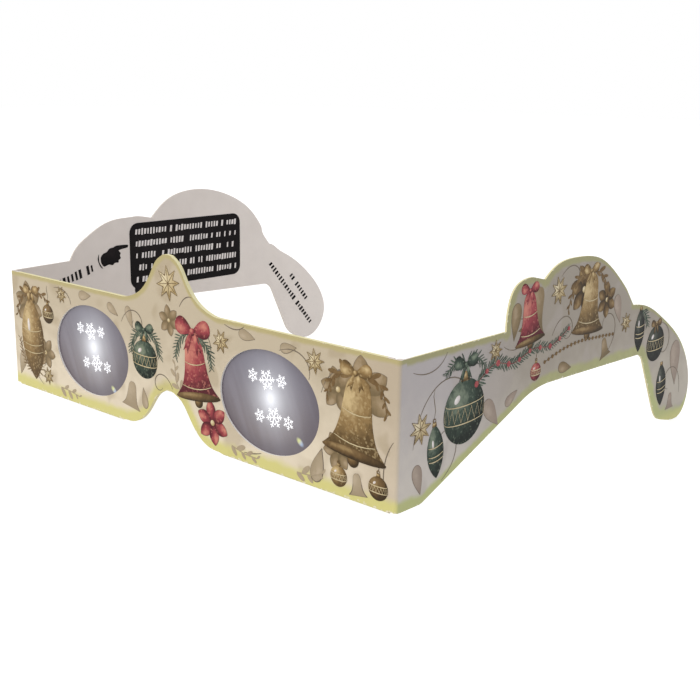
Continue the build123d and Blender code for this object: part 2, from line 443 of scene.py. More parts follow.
def print_skin(name, node, outward, body, slip, above, is_edge, ends):
    """Copies one side of a card as a thin closed shell that knows how far its edge is."""
    sheet = sheet_from_node(node, lambda face: face.normal.dot(outward) > same_way)
    for spot, direction in ends:
        cut_through(sheet, spot, direction, keep_both=False)
    border = edge_points(sheet, outward, is_edge, slip, above)
    for axis, across in enumerate(Matrix.Identity(3)):
        if abs(outward[axis]) < 0.5:
            places = [v.co[axis] for v in sheet.verts]
            for i in range(int(min(places) / grid_step), int(max(places) / grid_step) + 1):
                cut_through(sheet, across * i * grid_step, across)
    points, faces = points_and_faces(sheet)
    low = np.array(points)
    depth = np.array([np.min(np.linalg.norm(border[:, :3] - p, axis=1) / border[:, 3]) for p in low])
    mesh = closed_shell(name, low, low + np.array(outward) * skin_thickness, faces)
    note(mesh, "border_share", np.tile(depth, 2))
    return show(name, mesh, body)


def on_window_rim(spot):
    """True on the oval rim of a window."""
    shares = [((spot.x - c.x) / window_width, (spot.z - c.z) / window_height) for c in window_centres]
    return any(abs(4 * across**2 + 4 * up**2 - 1) < rim_margin for across, up in shares)


front_end = crease_x - crease_cover
temple_start = crease_y + crease_cover
skins = [print_skin("front_print", "front_card", -along_y, "front", front_slip, border_above,
                    lambda spot: abs(spot.x) < front_end - grid_step / 2 and not on_window_rim(spot),
                    [(Vector((side * front_end, 0, 0)), Vector((side, 0, 0))) for side in (1, -1)])]
for side, outward in (("left", along_x), ("right", -along_x)):
    skins.append(print_skin(f"{side}_temple_print", f"{side}_temple", outward, f"{side}_arm", temple_slip,
                            temple_border_above, lambda spot: spot.y > temple_start + grid_step / 2,
                            [(Vector((0, temple_start, 0)), -along_y)]))

# %% [markdown]
# ## Skin over the creases and the folds
# At each crease the print runs round the bend from the front to the temple, as one piece that
# covers it. Along the bottom, the skin goes round the fold to the flap behind and ends there, as the
# border's colour does.

# %% Cover the creases and the folds
bend_steps = 12


def crease_print(name, side, arm):
    """A thin shell from the front's face round the crease bead to the temple's outer face."""
    bend = [(crease_x + crease_radius * sin(a), crease_y - crease_radius * cos(a),
             sin(a), -cos(a)) for a in (pi / 2 * k / bend_steps for k in range(bend_steps + 1))]
    plan = [(front_end, printed_face, 0, -1), *bend, (half_width, temple_start, 1, 0)]
    heights = np.linspace(fold_line, top_edge, round((top_edge - fold_line) / grid_step) + 1)
    low, high = ([(side * (x + lift * nx), y + lift * ny, z) for x, y, nx, ny in plan for z in heights]
                 for lift in (0, skin_thickness))
    rows = len(heights)
    faces = [(i * rows + k, (i + 1) * rows + k, (i + 1) * rows + k + 1, i * rows + k + 1)
             for i in range(len(plan) - 1) for k in range(rows - 1)]
    if side < 0:
        faces = [tuple(reversed(face)) for face in faces]
    mesh = closed_shell(name, low, high, faces)
    depth = [min((top_edge - z) / border_above, (z - fold_line) / border_below) / mm for z in heights]
    note(mesh, "border_share", np.tile(depth, 2 * len(plan)))
    piece = put(name, mesh)
    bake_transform(piece)
    print(f"{name}: bends between front and {arm}")
    return piece


def fold_print():
    """The skin round the two bottom folds. Its colour ends where the plain flap starts."""
    fold_radius = (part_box("back_card")[1].y - printed_face) / 2
    axis = Vector((0, printed_face + fold_radius, fold_line))

    def round_the_fold(face):
        reach = face.calc_center_median() - axis
        reach.x = 0
        return reach.z < 0 and reach.length > 0.9 * fold_radius and abs(face.normal.x) < 0.5

    low, faces = points_and_faces(sheet_from_node("back_card", round_the_fold))
    away = [Vector((0, p.y - axis.y, p.z - axis.z)).normalized() for p in low]
    mesh = closed_shell("fold_print", low, [p + n * skin_thickness for p, n in zip(low, away)], faces)
    note(mesh, "border_share", [max(0.0, n.y) for n in away] * 2)
    return show("fold_print", mesh, "front")


skins += [crease_print("left_crease_print", 1, "left_arm"),
          crease_print("right_crease_print", -1, "right_arm"), fold_print()]

# %% [markdown]
# ## The printed ground
# The ground is a cream colour with soft taupe shadows of decorations behind, which are print. It is
# painted darker towards the top and lighter low down, and darker towards the front's end by the left
# temple: painted shade. Round the edge lies a yellow green border that fades inwards, and turns yellow
# at the tips of the hooks; it too is painted darker towards the top. On the temples the same ink is
# painted cooler and the border greener, as painted shade, and the change happens in the bend of the
# crease. Far back on a temple the ground grows browner. The sheet was printed in four colours and
# varnished, so it has a soft gloss over a very faint orange peel. Handling has nicked the ink off the
# very edge in places. Soft steps turn a place or a noise into shares, and a table lays the tones over
# each other by them.

# %% Material of the printed ground
shadow_size, mottle_size = 11 * mm, 3.5 * mm
peel_size, nick_size = 0.8 * mm, 0.9 * mm
browner_from, browner_to = printed_face + 12 * mm, printed_face + 50 * mm


def printed_ground(name):
    """Offset-printed, varnished card. Shadows and border are read from the piece itself."""
    material, tree = new_material(name)
    place = add(tree, "ShaderNodeTexCoord").outputs["Object"]
    x, y, z = add(tree, "ShaderNodeSeparateXYZ", [place]).outputs
    mottle, nicks, peel = (
        add(tree, "ShaderNodeTexNoise", {"Vector": place, "Scale": 1 / size, "Detail": detail})
        for size, detail in ((mottle_size, 3.0), (nick_size, 3.0), (peel_size, 2.0)))
    cloud = add(tree, "ShaderNodeTexNoise", {"Vector": place, "Scale": 1 / shadow_size, "Detail": 1.0,
                                             "Distortion": 0.8, "W": 4.7}, noise_dimensions="4D")
    border = add(tree, "ShaderNodeAttribute", attribute_name="border_share").outputs["Fac"]
    wave, spray, worn = (add(tree, "ShaderNodeMath", values, operation="MULTIPLY_ADD") for values in (
        [mottle, front_height / 2, z], [mottle, 0.5, border], [nicks, -0.8, border]))
    # Painted shade: up darkens the ground and the border towards the top, end darkens the front towards the
    # left temple, and temple turns the temples cooler and greyer.
    shares = {share: add(tree, "ShaderNodeMapRange", values, interpolation_type="SMOOTHSTEP")
              for share, *values in (
                  ("up", wave, low_edge + front_height / 4, top_edge + front_height / 6),
                  ("temple", y, printed_face, crease_y), ("back", y, browner_from, browner_to),
                  ("end", x, 0.68 * half_width, half_width, 0.0, 0.5), ("tip", z, 0.6 * low_edge, 0),
                  ("shaded", cloud, 0.55, 0.66, 0.0, 0.5), ("soft", spray, 1.28, 0.62),
                  ("firm", spray, 1.10, 0.64), ("worn", worn, -0.40, -0.50, 0.0, 0.7),
                  ("rough", mottle, 0.0, 1.0, 0.36, 0.46))}
    shares["edge"] = add(tree, "ShaderNodeMix", [shares[share] for share in ("temple", "soft", "firm")])
    tones = {}
    # The tones that change with up and end, and the temples' grey and green, are painted shade.
    for tone, share, low, high in (
            ("cream", "up", "#E0D6C3", "#BFB49F"), ("cream", "end", "cream", "#B3A491"),
            ("grey", "up", "#C8C2B9", "#B0ABAA"), ("brown", "up", "#BAB3A6", "#9E968A"),
            ("grey", "back", "grey", "brown"), ("ground", "temple", "cream", "grey"),
            ("shadow", "temple", "#A89A80", "#AAA29B"), ("ground", "shaded", "ground", "shadow"),
            ("yellow", "up", "#D2CE89", "#B4AA7D"), ("green", "up", "#B6BB83", "#9F9C75"),
            ("green", "tip", "green", "#D3D08D"), ("border", "temple", "yellow", "green"),
            ("ground", "edge", "ground", "border"), ("ground", "worn", "ground", "#E9E4D8")):
        ends = [tones.get(colour, colour) for colour in (low, high)]
        tones[tone] = add(tree, "ShaderNodeMix", [shares[share], *ends], data_type="RGBA")

    relief = add(tree, "ShaderNodeBump", {"Strength": 0.10, "Distance": 0.02 * mm, "Height": peel})
    shader = add(tree, "ShaderNodeBsdfPrincipled", {"Base Color": tones["ground"], "Specular IOR Level": 0.12,
                                                    "Roughness": shares["rough"], "Normal": relief})
    add(tree, "ShaderNodeOutputMaterial", [shader])
    return material


ground_ink = printed_ground("offset_printed_varnished_card")
for piece in skins:
    piece.data.materials.append(ground_ink)
print("printed ground on", len(skins), "skins")

# %% [markdown]
# ## The window film
# Each window holds a clear polyester film embossed with far finer lines than the eye can see. It
# looks violet grey and glossy. It gathers the light behind it into one bright spot near the middle
# of the window, whose halo fades by the same share with every millimetre outwards, and at the lower
# right one short streak of rainbow leaves it. The embossing runs slightly askew and leaves faint
# bands, and the film darkens towards its rim, most of all at the lower right. The film itself is the
# frame's own piece, so only its material is made here.

# %% Material of the window film
glow_shift = Vector((0.4, 0, 0.9)) * mm
halo_fade, halo_stretch = 4.1 * mm, 1.15
shade_shift = Vector((-1.6, 0, 0.8)) * mm
band_width, band_lean = 4.5 * mm, radians(24)
glint_shifts = [Vector((9.9, 0, -7.2)) * mm, Vector((8.8, 0, -9.2)) * mm]
glint_width, glint_length, glint_lean = 0.90 * mm, 1.6 * mm, radians(52)


def diffraction_film(name, centre, glint_shift):
    """Embossed polyester film with the light gathered at one spot."""
    material, tree = new_material(name)
    place = add(tree, "ShaderNodeTexCoord").outputs["Object"]
    (to_rim, on_film), (_, on_bands), (to_halo, _), (to_glint, on_glint) = (
        reach_from(tree, place, centre + shift, (1 / across, 0, 1 / up), lean)
        for shift, across, up, lean in (
            (shade_shift, window_width / 2, window_height / 2, 0),
            (Vector(), band_width, 9 * band_width, band_lean),
            (glow_shift, halo_fade / halo_stretch, halo_fade, band_lean / 2),
            (glint_shift, glint_width, glint_length, glint_lean)))
    height, along = (add(tree, "ShaderNodeSeparateXYZ", [at]).outputs["Z"] for at in (on_film, on_glint))
    bands = add(tree, "ShaderNodeTexNoise", {"Vector": on_bands, "Scale": 1.0, "Detail": 2.0})

    shares = {share: add(tree, "ShaderNodeMapRange", values, interpolation_type="SMOOTHSTEP")
              for share, *values in (
                  ("height", height, -1.0, 1.0), ("band", bands, 0.42, 0.68, 0.0, 0.35),
                  ("rim", to_rim, 0.70, 1.02, 0.0, 0.60), ("glint", to_glint, 1.0, 0.3),
                  ("blue", along, -0.45, -0.15), ("yellow", along, -0.15, 0.25))}
    shares["halo"] = add(tree, "ShaderNodeMath", [1 / e, to_halo], operation="POWER")
    tones = {}
    for tone, share, low, high in (
            ("film", "height", "#64595D", "#6A6878"), ("film", "band", "film", "#85828F"),
            ("film", "rim", "film", "#4F4754"), ("film", "halo", "film", "#D9DEE8"),
            ("rainbow", "blue", "#9DB2D2", "#B4BCC0"), ("rainbow", "yellow", "rainbow", "#CCD294"),
            ("film", "glint", "film", "rainbow"), ("light", "glint", "#F2F6FF", "rainbow")):
        ends = [tones.get(colour, colour) for colour in (low, high)]
        tones[tone] = add(tree, "ShaderNodeMix", [shares[share], *ends], data_type="RGBA")

    own_light = add(tree, "ShaderNodeMath", [shares["halo"], 0.50], operation="MULTIPLY")
    shine = add(tree, "ShaderNodeMath", [shares["glint"], 0.10, own_light], operation="MULTIPLY_ADD")
    shader = add(tree, "ShaderNodeBsdfPrincipled", {
        "Base Color": tones["film"], "Roughness": 0.22, "Specular IOR Level": 0.35, "Coat Weight": 0.15,
        "Coat Roughness": 0.08, "Emission Color": tones["light"], "Emission Strength": shine})
    add(tree, "ShaderNodeOutputMaterial", [shader])
    return material


films = dict(zip(("left_film", "right_film"), window_centres))
for (film, centre), glint_shift in zip(films.items(), glint_shifts):
    dress_node(film, diffraction_film("embossed_polyester_" + film, centre, glint_shift))

# %% [markdown]
# ## Inks for the ornaments
# The print shows hanging festive ornaments in soft, painted tones. Each ink is a little lighter where
# a painter would put the light, at the upper left of the shape, and darker towards the lower right,
# with brush mottling over it. Every point of a shape knows its place on that shape, from -1 to 1
# both ways, so one material serves a bauble of any size. Some inks carry fine glitter, flecks that
# are drawn half a millimetre wide so that they show at all. Taupe, dun and mink are thin washes, and
# a deep pine serves the hook, where the print is darkest.

# %% Materials of the inks
brush_size, glitter_size = 1.3 * mm, 0.5 * mm
painted_light = (-0.35, 0.4, 0.0)


def printed_ink(name, dark, middle, light, glitter=0.0):
    """Offset ink under varnish, shaded across each shape as if it were round."""
    material, tree = new_material(name)
    place = add(tree, "ShaderNodeTexCoord").outputs["Object"]
    on_shape = add(tree, "ShaderNodeAttribute", attribute_name="on_shape").outputs["Vector"]
    reach, _ = reach_from(tree, on_shape, painted_light, (1, 1, 1))
    brush = add(tree, "ShaderNodeTexNoise", {"Vector": place, "Scale": 1 / brush_size, "Detail": 4.0,
                                             "Distortion": 0.6})
    tone = add(tree, "ShaderNodeMath", [brush, 0.9, reach], operation="MULTIPLY_ADD")
    colour = light
    for first, last, darker in ((0.45, 1.15, middle), (1.0, 1.8, dark)):
        away = add(tree, "ShaderNodeMapRange", [tone, first, last], interpolation_type="SMOOTHSTEP")
        colour = add(tree, "ShaderNodeMix", [away, colour, darker], data_type="RGBA")
    if glitter:
        cells = add(tree, "ShaderNodeTexVoronoi", {"Vector": place, "Scale": 1 / glitter_size})
        chance = add(tree, "ShaderNodeSeparateColor", [cells.outputs["Color"]])
        fleck = add(tree, "ShaderNodeMapRange", [chance, 0.80, 0.95, 0.0, glitter])
        colour = add(tree, "ShaderNodeMix", [fleck, colour, light], data_type="RGBA")
    rough = add(tree, "ShaderNodeMapRange", {"Value": brush, "To Min": 0.34, "To Max": 0.46})
    shader = add(tree, "ShaderNodeBsdfPrincipled", {"Base Color": colour, "Roughness": rough,
                                                    "Specular IOR Level": 0.08})
    add(tree, "ShaderNodeOutputMaterial", [shader])
    return material


inks = {ink: printed_ink(*recipe) for ink, *recipe in (
    ("taupe", "offset_ink_taupe_wash", "#9F917A", "#A99B84", "#B5A791"),
    ("dun", "offset_ink_dun_wash", "#75664C", "#8D7B5E", "#A6947A"),
    ("mink", "offset_ink_mink_wash", "#94867A", "#9E9083", "#AB9D8F"),
    ("straw", "offset_ink_straw", "#AA966C", "#C8B892", "#DFD4B5"),
    ("red", "offset_ink_crimson", "#54232A", "#97434A", "#C88274", 0.45),
    ("green", "offset_ink_fir_green", "#1E2520", "#3C4A40", "#7F8A78", 0.35),
    ("pine", "offset_ink_deep_pine", "#11130F", "#272A25", "#565A50", 0.2),
    ("gold", "offset_ink_old_gold", "#5A482E", "#917850", "#C9B489", 0.35),
    ("bronze", "offset_ink_bronze_brown", "#3E3222", "#6B5538", "#97805A"),
    ("grey", "offset_ink_pen_grey", "#5B5348", "#73695C", "#8F8577"),
    ("black", "offset_ink_black", "#0C0809", "#120E0F", "#1C1718"),
    ("white", "bare_white_of_the_sheet", "#CFC8C4", "#DDD7D3", "#EDE9E6"))}
print("inks", sorted(inks))

# %% [markdown]
# ## Outlines of the ornaments
# An ornament is a few flat shapes, drawn once at unit size: a ball, a cap, a bell with its lip and
# clapper, a spindle, a drop, a star and a bow. Round ones come from a formula, and the bell's side is
# a smooth curve through a few points.

# %% Draw the outlines
round_steps, star_steps = 40, 16


def by_angle(across, up, steps=round_steps):
    """A closed outline from two formulas of the angle, anticlockwise."""
    return [(across(a), up(a)) for a in (tau * k / steps for k in range(steps))]


def smooth(points, steps=6):
    """More points on a smooth curve through the given ones."""
    ends = [points[0], *points, points[-1]]
    found = []
    for near in zip(ends, ends[1:], ends[2:], ends[3:]):
        for t in (k / steps for k in range(steps)):
            found.append(tuple(0.5 * (2 * b + (c - a) * t + (2 * a - 5 * b + 4 * c - d) * t**2
                                      + (3 * b - a - 3 * c + d) * t**3) for a, b, c, d in zip(*near)))
    return found + [points[-1]]


def star_reach(a):
    """1 at a tip of an eight-pointed star, and less between two tips."""
    return 0.48 if round(star_steps * a / tau) % 2 else 1


def mirrored(outline):
    """The same outline on the other side of the middle line, still anticlockwise."""
    return [(-x, y) for x, y in reversed(outline)]


bell_side = smooth([(0.0, 1.0), (-0.20, 0.96), (-0.35, 0.74), (-0.42, 0.35), (-0.50, -0.10), (-0.66, -0.50),
                    (-0.95, -0.80)])
tail_outline = [(0.0, 0.1), (-0.25, 0.0), (-0.85, -0.85), (-0.55, -0.72), (-0.42, -1.0), (0.05, -0.1)]
outlines = {
    "ball": by_angle(cos, sin),
    "cap": [(-1, -1), (1, -1), (0.8, 1), (-0.8, 1)],
    "bell": bell_side + mirrored(bell_side[1:]),
    "spindle": by_angle(lambda a: cos(a) * abs(cos(a))**0.7, sin),
    "drop": by_angle(lambda a: cos(a) * abs(sin((a + pi / 2) / 2))**1.3, sin),
    "star": by_angle(lambda a: star_reach(a) * cos(a), lambda a: star_reach(a) * sin(a), star_steps),
    "tail": tail_outline, "other_tail": mirrored(tail_outline),
}
print("outlines", {name: len(points) for name, points in outlines.items()})

# %% [markdown]
# ## What each ornament is made of
# A mark is one outline with the ink it is printed in, the layer it lies on, and its place, size and
# turn on the ornament. Ink on ink is a little higher, as it is on a real press sheet. A pen line is
# drawn the same way: the bands round a bauble, the ring above a cap, the threads of a straw star.
# Silhouettes of hanging ornaments in a thin wash fill the ground between the painted ones, and large
# winter flowers with six pointed petals, in a darker wash, lie behind the biggest.

# %% Compose the ornaments
Mark = namedtuple("Mark", "outline ink layer x y wide high turn", defaults=[0])


def band(height, sag=0.16, steps=10):
    """A line round a ball at some height, seen a little from above."""
    reach = (1 - height**2) ** 0.5
    return [(reach * cos(a), height - sag * reach * sin(a))
            for a in (pi * k / steps for k in range(steps + 1))]


def zigzag(low, high, teeth=9):
    """A line that runs up and down between two bands."""
    lower, upper = (band(height, steps=2 * teeth) for height in (low, high))
    return [(upper if k % 2 else lower)[k] for k in range(2 * teeth + 1)]


def ring(up, radius):
    """A small wire ring above a cap."""
    return [(radius * cos(a), up + radius * sin(a)) for a in (tau * k / 12 for k in range(13))]


def hoop(reach, up, sag):
    """A short line across a slim shape, sagging in its middle."""
    return [(reach * x, up - sag * (1 - x * x)) for x in (-1, -0.6, -0.2, 0.2, 0.6, 1)]


def closed(outline):
    """An outline that ends where it starts."""
    return [*outline, outline[0]]


def turned(point, degrees):
    """A flat point turned about zero, anticlockwise."""
    return Matrix.Rotation(radians(degrees), 2) @ Vector(point)


def placed(mark):
    """A mark's outline at its place on the ornament."""
    return [turned((x * mark.wide, y * mark.high), mark.turn) + Vector((mark.x, mark.y))
            for x, y in outlines[mark.outline]]


petal_reach = 0.54
petals = [("spindle", "own", 0, -petal_reach * sin(a), petal_reach * cos(a), 0.30, 0.47, 360 * a / tau)
          for a in (tau * k / 6 for k in range(6))]
marks = {kind: [Mark(*row) for row in rows] for kind, rows in {
    "bauble": [("ball", "own", 1, 0, 0, 1, 1), ("cap", "gold", 2, 0, 1.08, 0.22, 0.15),
               ("ball", "white", 2, -0.38, 0.42, 0.16, 0.10, 40)],
    "bell": [("ball", "bronze", 1, 0, -0.95, 0.17, 0.17), ("bell", "own", 2, 0, 0, 1, 1),
             ("ball", "bronze", 3, 0, -0.80, 0.95, 0.13)],
    "spindle": [("spindle", "own", 1, 0, 0, 0.46, 1), ("cap", "gold", 2, 0, 1.0, 0.12, 0.08),
                ("ball", "white", 2, -0.13, 0.30, 0.05, 0.16)],
    "wash_drop": [("drop", "own", 0, 0, 0, 0.62, 1)],
    "wash_bell": [("bell", "own", 0, 0, 0, 0.9, 0.9)],
    "star": [("star", "own", 1, 0, 0, 1, 1)],
    "flower": petals + [("ball", "straw", 1, 0, 0, 0.13, 0.13)],
    "bow": [("drop", "own", 3, -0.48, 0.16, 0.50, 0.56, 75), ("drop", "own", 3, 0.48, 0.16, 0.50, 0.56, -75),
            ("tail", "own", 3, -0.02, 0, 0.62, 0.9), ("other_tail", "own", 3, 0.02, 0, 0.62, 0.9),
            ("ball", "own", 4, 0, 0.03, 0.17, 0.15)],
}.items()}
pen_lines = {
    "bauble": [("straw", band(0.32)), ("straw", band(-0.22)), ("straw", zigzag(-0.16, 0.26))],
    "bell": [("straw", hoop(0.62, -0.48, 0.10)), ("straw", hoop(0.43, 0.20, 0.08))],
    "spindle": [("straw", hoop(0.40, up, 0.07)) for up in (-0.30, -0.12, 0.22)],
    **{kind: [("grey", closed(placed(mark))) for mark in marks[kind] if mark.outline != "ball"]
       for kind in ("wash_drop", "wash_bell", "flower")},
    "star": [("bronze", closed(outlines["star"]))]
            + [("bronze", [(0.75 * x, 0.75 * y), (-0.75 * x, -0.75 * y)]) for x, y in outlines["star"][:8:2]],
    "bow": [],
}
wire_rings = {"bauble": (1.36, 0.13), "bell": (1.10, 0.12), "spindle": (1.14, 0.07)}
print("marks", {kind: len(found) for kind, found in marks.items()})

# %% [markdown]
# ## Where the ornaments hang
# Each panel has a layout, one ornament in each row. Its place across is a share of the front's half
# width, or of the temple's length back from the crease. Its height is a share of the front's height,
# with zero at the straight top edge, and so is its size. A turn in degrees and the length of its cord
# follow where there are any. The large gold pieces fill both ends of the front, red and green hang
# in the middle, and each lobe of a temple has its own. A bow covers the ring of the large ones.

# %% Lay out the ornaments
Ornament = namedtuple("Ornament", "kind ink across up size turn cord", defaults=[0, 0])


def hang(rows):
    """Ornaments from rows of a kind, an ink, a place across and up, a size, and a turn and a cord."""
    return [Ornament(kind, ink, *map(float, numbers))
            for kind, ink, *numbers in (row.split() for row in rows.strip().splitlines())]


layouts = {"front": hang("""
    spindle gold -0.862 -0.545 0.36 3
    bow gold -0.862 -0.150 0.110
    flower dun -0.880 -0.260 0.200 10
    flower dun -0.775 -0.640 0.135 25
    bauble bronze -0.748 -0.300 0.080 0 0.12
    star straw -0.765 -0.840 0.075 12
    wash_drop taupe -0.945 -0.79 0.115 -20
    star straw -0.652 -0.105 0.070 30
    wash_drop taupe -0.500 -0.066 0.080 95
    wash_drop taupe -0.330 -0.125 0.075 60
    bauble green -0.150 -0.450 0.150
    bow green -0.150 -0.225 0.105
    wash_bell taupe -0.232 -0.775 0.130 -8
    wash_drop taupe -0.158 -0.760 0.080 190
    wash_drop taupe -0.232 -0.150 0.085 20
    bell red 0.124 -0.415 0.256 7
    bow red 0.110 -0.150 0.185
    star straw -0.012 0.175 0.130 8
    flower dun -0.012 -0.100 0.115 12
    flower red 0.206 -0.780 0.165 10
    star straw 0.252 -0.160 0.085 20
    wash_drop taupe 0.375 -0.075 0.080 82
    wash_drop taupe 0.560 -0.090 0.075 100
    bell gold 0.840 -0.450 0.287 -4
    bow gold 0.836 -0.150 0.130
    flower dun 0.862 -0.260 0.235 5
    flower dun 0.768 -0.280 0.150 20
    flower dun 0.772 -0.690 0.130 35
    bauble bronze 0.930 -0.855 0.080 0 0.06
    bauble gold 0.775 -0.860 0.072 0 0.08
    wash_drop taupe 0.690 -0.830 0.125 165
    wash_bell taupe 0.850 -0.885 0.090 8
    star straw 0.672 -0.135 0.085 8
"""), "left_temple": hang("""
    bauble green 0.165 -0.460 0.222
    bow green 0.165 -0.150 0.125
    spindle green 0.092 -0.665 0.185 6 0.20
    star straw 0.052 -0.480 0.105 10
    wash_drop mink 0.050 -0.815 0.105 15
    wash_drop mink 0.243 -0.545 0.130 40
    star straw 0.246 -0.110 0.075
    bell red 0.345 0.045 0.195 6
    bow red 0.341 0.245 0.105
    bauble red 0.372 -0.350 0.066 0 0.05
    wash_drop mink 0.300 -0.480 0.080 120
    wash_bell dun 0.362 0.080 0.205 -14
    wash_drop dun 0.302 0.050 0.130 -6
    star straw 0.434 0.200 0.105 15
    bell gold 0.545 0.035 0.240 -4
    bow gold 0.543 0.290 0.105
    flower bronze 0.520 0.165 0.185 15
    flower bronze 0.607 0.040 0.140
    wash_drop dun 0.470 -0.390 0.090 80
    wash_bell dun 0.612 -0.345 0.095 15
    wash_drop mink 0.655 -0.060 0.120 20
    star straw 0.690 -0.190 0.080 5
    spindle pine 0.750 -0.290 0.180
    bauble pine 0.824 -0.450 0.152
    bow bronze 0.823 -0.292 0.085
    wash_drop mink 0.924 -0.690 0.200 8
    wash_bell mink 0.915 -1.030 0.085
    spindle pine 0.866 -0.840 0.190 6
"""), "right_temple": hang("""
    bell gold 0.155 -0.400 0.225 5 0.04
    bow red 0.158 -0.165 0.105
    star straw 0.055 -0.620 0.105 10
    wash_drop taupe 0.060 -0.220 0.100 30
    bauble green 0.270 -0.090 0.140 0 0.12
    wash_drop taupe 0.255 -0.500 0.105 150
    spindle red 0.362 -0.020 0.215 0 0.05
    wash_bell taupe 0.370 -0.400 0.090 -10
    star straw 0.430 0.240 0.095 15
    bauble red 0.530 0.180 0.185 0 0.06
    bow gold 0.530 0.440 0.080
    bell gold 0.648 0.060 0.170 -8 0.06
    wash_drop taupe 0.460 -0.290 0.105 30
    wash_drop taupe 0.625 -0.350 0.090 110
    spindle green 0.730 -0.130 0.180 0 0.05
    star straw 0.800 -0.270 0.080 5
    bauble gold 0.878 -0.520 0.125 0 0.04
    wash_bell taupe 0.945 -0.660 0.090 10
    spindle red 0.925 -0.830 0.150 -8 0.03
""")}
temple_reach = {"left_temple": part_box("left_temple")[1].y - printed_face,
                "right_temple": printed_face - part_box("right_temple")[1].y,
                "right_inside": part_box("right_temple")[1].y - printed_face}


def spot(panel_name, across, up):
    """A place on a panel in its own millimetres, from shares of its reach and of the front's height."""
    return Vector((across * temple_reach.get(panel_name, half_width), up * front_height)) / mm


print("ornaments", {name: len(found) for name, found in layouts.items()})

# %% Find out what lies on the card
from mathutils.bvhtree import BVHTree

# A line keeps this many of a panel's millimetres from the edge, and a shape keeps none
edge_margin = 0.5
touching = 1.2 * skin_thickness


def tree_of(*pieces):
    """A search tree over the faces of some pieces."""
    points, faces = [], []
    for piece in pieces:
        first = len(points)
        points += [v.co for v in piece.data.vertices]
        faces += [[first + i for i in face.vertices] for face in piece.data.polygons]
    return BVHTree.FromPolygons(points, faces)


front_skin, left_skin, right_skin, left_bend, right_bend, _ = skins
skin_trees = {"front": tree_of(front_skin, left_bend, right_bend),
              "left_temple": tree_of(left_skin, left_bend), "right_temple": tree_of(right_skin, right_bend),
              "right_inside": tree_of(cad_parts["right_temple"])}


def on_card(panel_name, point, margin=edge_margin):
    """True where the card lies under a flat point and the margin round it."""
    for x, y in ((0, 0), (margin, 0), (-margin, 0), (0, margin), (0, -margin)):
        above = panels[panel_name].place @ Vector((point[0] + x, point[1] + y, skin_thickness / mm))
        if skin_trees[panel_name].find_nearest(above)[3] > touching:
            return False
    return True


def inked_run(panel_name, line):
    """The longest run of a line's points that lies on the card."""
    runs = [[]]
    for point in line:
        if on_card(panel_name, point):
            runs[-1].append(point)
        else:
            runs.append([])
    return max(runs, key=len)


print("middle of the front on card:", on_card("front", (0, -5)), "window:", on_card("front", (34, -17)))

# %% Print the flat shapes
# Heights are counted in layers of ink. Each ink and each shape lies a share of one above the last
first_layer, ink_step, shape_step = 1.6, 0.1, 0.08


def flat_shapes(name, panel_name, ink, drawings):
    """One piece of closed shells. A drawing is points, their places on the shape, and a layer.
    No two shapes end at the same height, because the eye can't tell which of two such is on top."""
    low, high, faces, local = [], [], [], []
    for number, (points, places, layer) in enumerate(drawings):
        layer += first_layer + ink_step * list(inks).index(ink) + shape_step * number / len(drawings)
        faces.append(tuple(range(len(low), len(low) + len(points))))
        low += [(x, y, 0) for x, y in points]
        high += [(x, y, (skin_thickness + layer * ink_thickness) / mm) for x, y in points]
        least, most = np.min(places, axis=0), np.max(places, axis=0)
        local += [(*(2 * (place - least) / (most - least) - 1), 0) for place in np.array(places)]
    mesh = closed_shell(name, low, high, faces)
    note(mesh, "on_shape", local * 2, "FLOAT_VECTOR")
    mesh.materials.append(inks[ink])
    mesh.transform(panels[panel_name].place)
    show(name, mesh, panels[panel_name].body)


def measures_of(panel_name, item):
    """An ornament's middle and its size, both in millimetres."""
    return spot(panel_name, item.across, item.up), item.size * front_height / mm


for panel_name, layout in layouts.items():
    by_ink = {}
    for item in layout:
        middle, size = measures_of(panel_name, item)
        for mark in marks[item.kind]:
            points = [middle + turned(p, item.turn) * size for p in placed(mark)]
            if not all(on_card(panel_name, p, 0) for p in points):
                print("partly off the card:", panel_name, item.kind, item.across, item.up, mark.outline)
            ink = item.ink if mark.ink == "own" else mark.ink
            by_ink.setdefault(ink, []).append((points, outlines[mark.outline], mark.layer))
    for ink, drawings in sorted(by_ink.items()):
        flat_shapes(f"{panel_name}_{ink}_shapes", panel_name, ink, drawings)

# %% [markdown]
# ## Geometry Nodes for drawn lines
# Cords, swirls and the bands on the baubles are all pen strokes: a line that swells in its middle
# and thins towards its ends. The tree turns the edges of a plain mesh into curves, sets their radius
# along the way and sweeps a flat rectangle, a line's width by an ink's thickness, along them. Every
# tree of this lesson ends in its ink's thickness and its ink, so one function starts them all.

# %% Helpers for Geometry Nodes
def new_tree(name, *sizes):
    """A Geometry Nodes tree with one geometry in, one out and named inputs. Returns it and its input."""
    tree = bpy.data.node_groups.new(name, "GeometryNodeTree")
    for way in ("INPUT", "OUTPUT"):
        tree.interface.new_socket("Geometry", in_out=way, socket_type="NodeSocketGeometry")
    for each in (*sizes, "Ink thickness", "Ink"):
        kind = "Material" if each == "Ink" else "Float"
        tree.interface.new_socket(each, in_out="INPUT", socket_type="NodeSocket" + kind)
    return tree, add(tree, "NodeGroupInput").outputs


def end_tree(tree, geometry, ink):
    """Ends a tree in real mesh with its ink on it, and returns the tree."""
    real = add(tree, "GeometryNodeRealizeInstances", [geometry])
    inked = add(tree, "GeometryNodeSetMaterial", {"Geometry": real, "Material": ink})
    add(tree, "NodeGroupOutput", [inked])
    print("tree", tree.name, "has", len(tree.nodes), "nodes")
    return tree


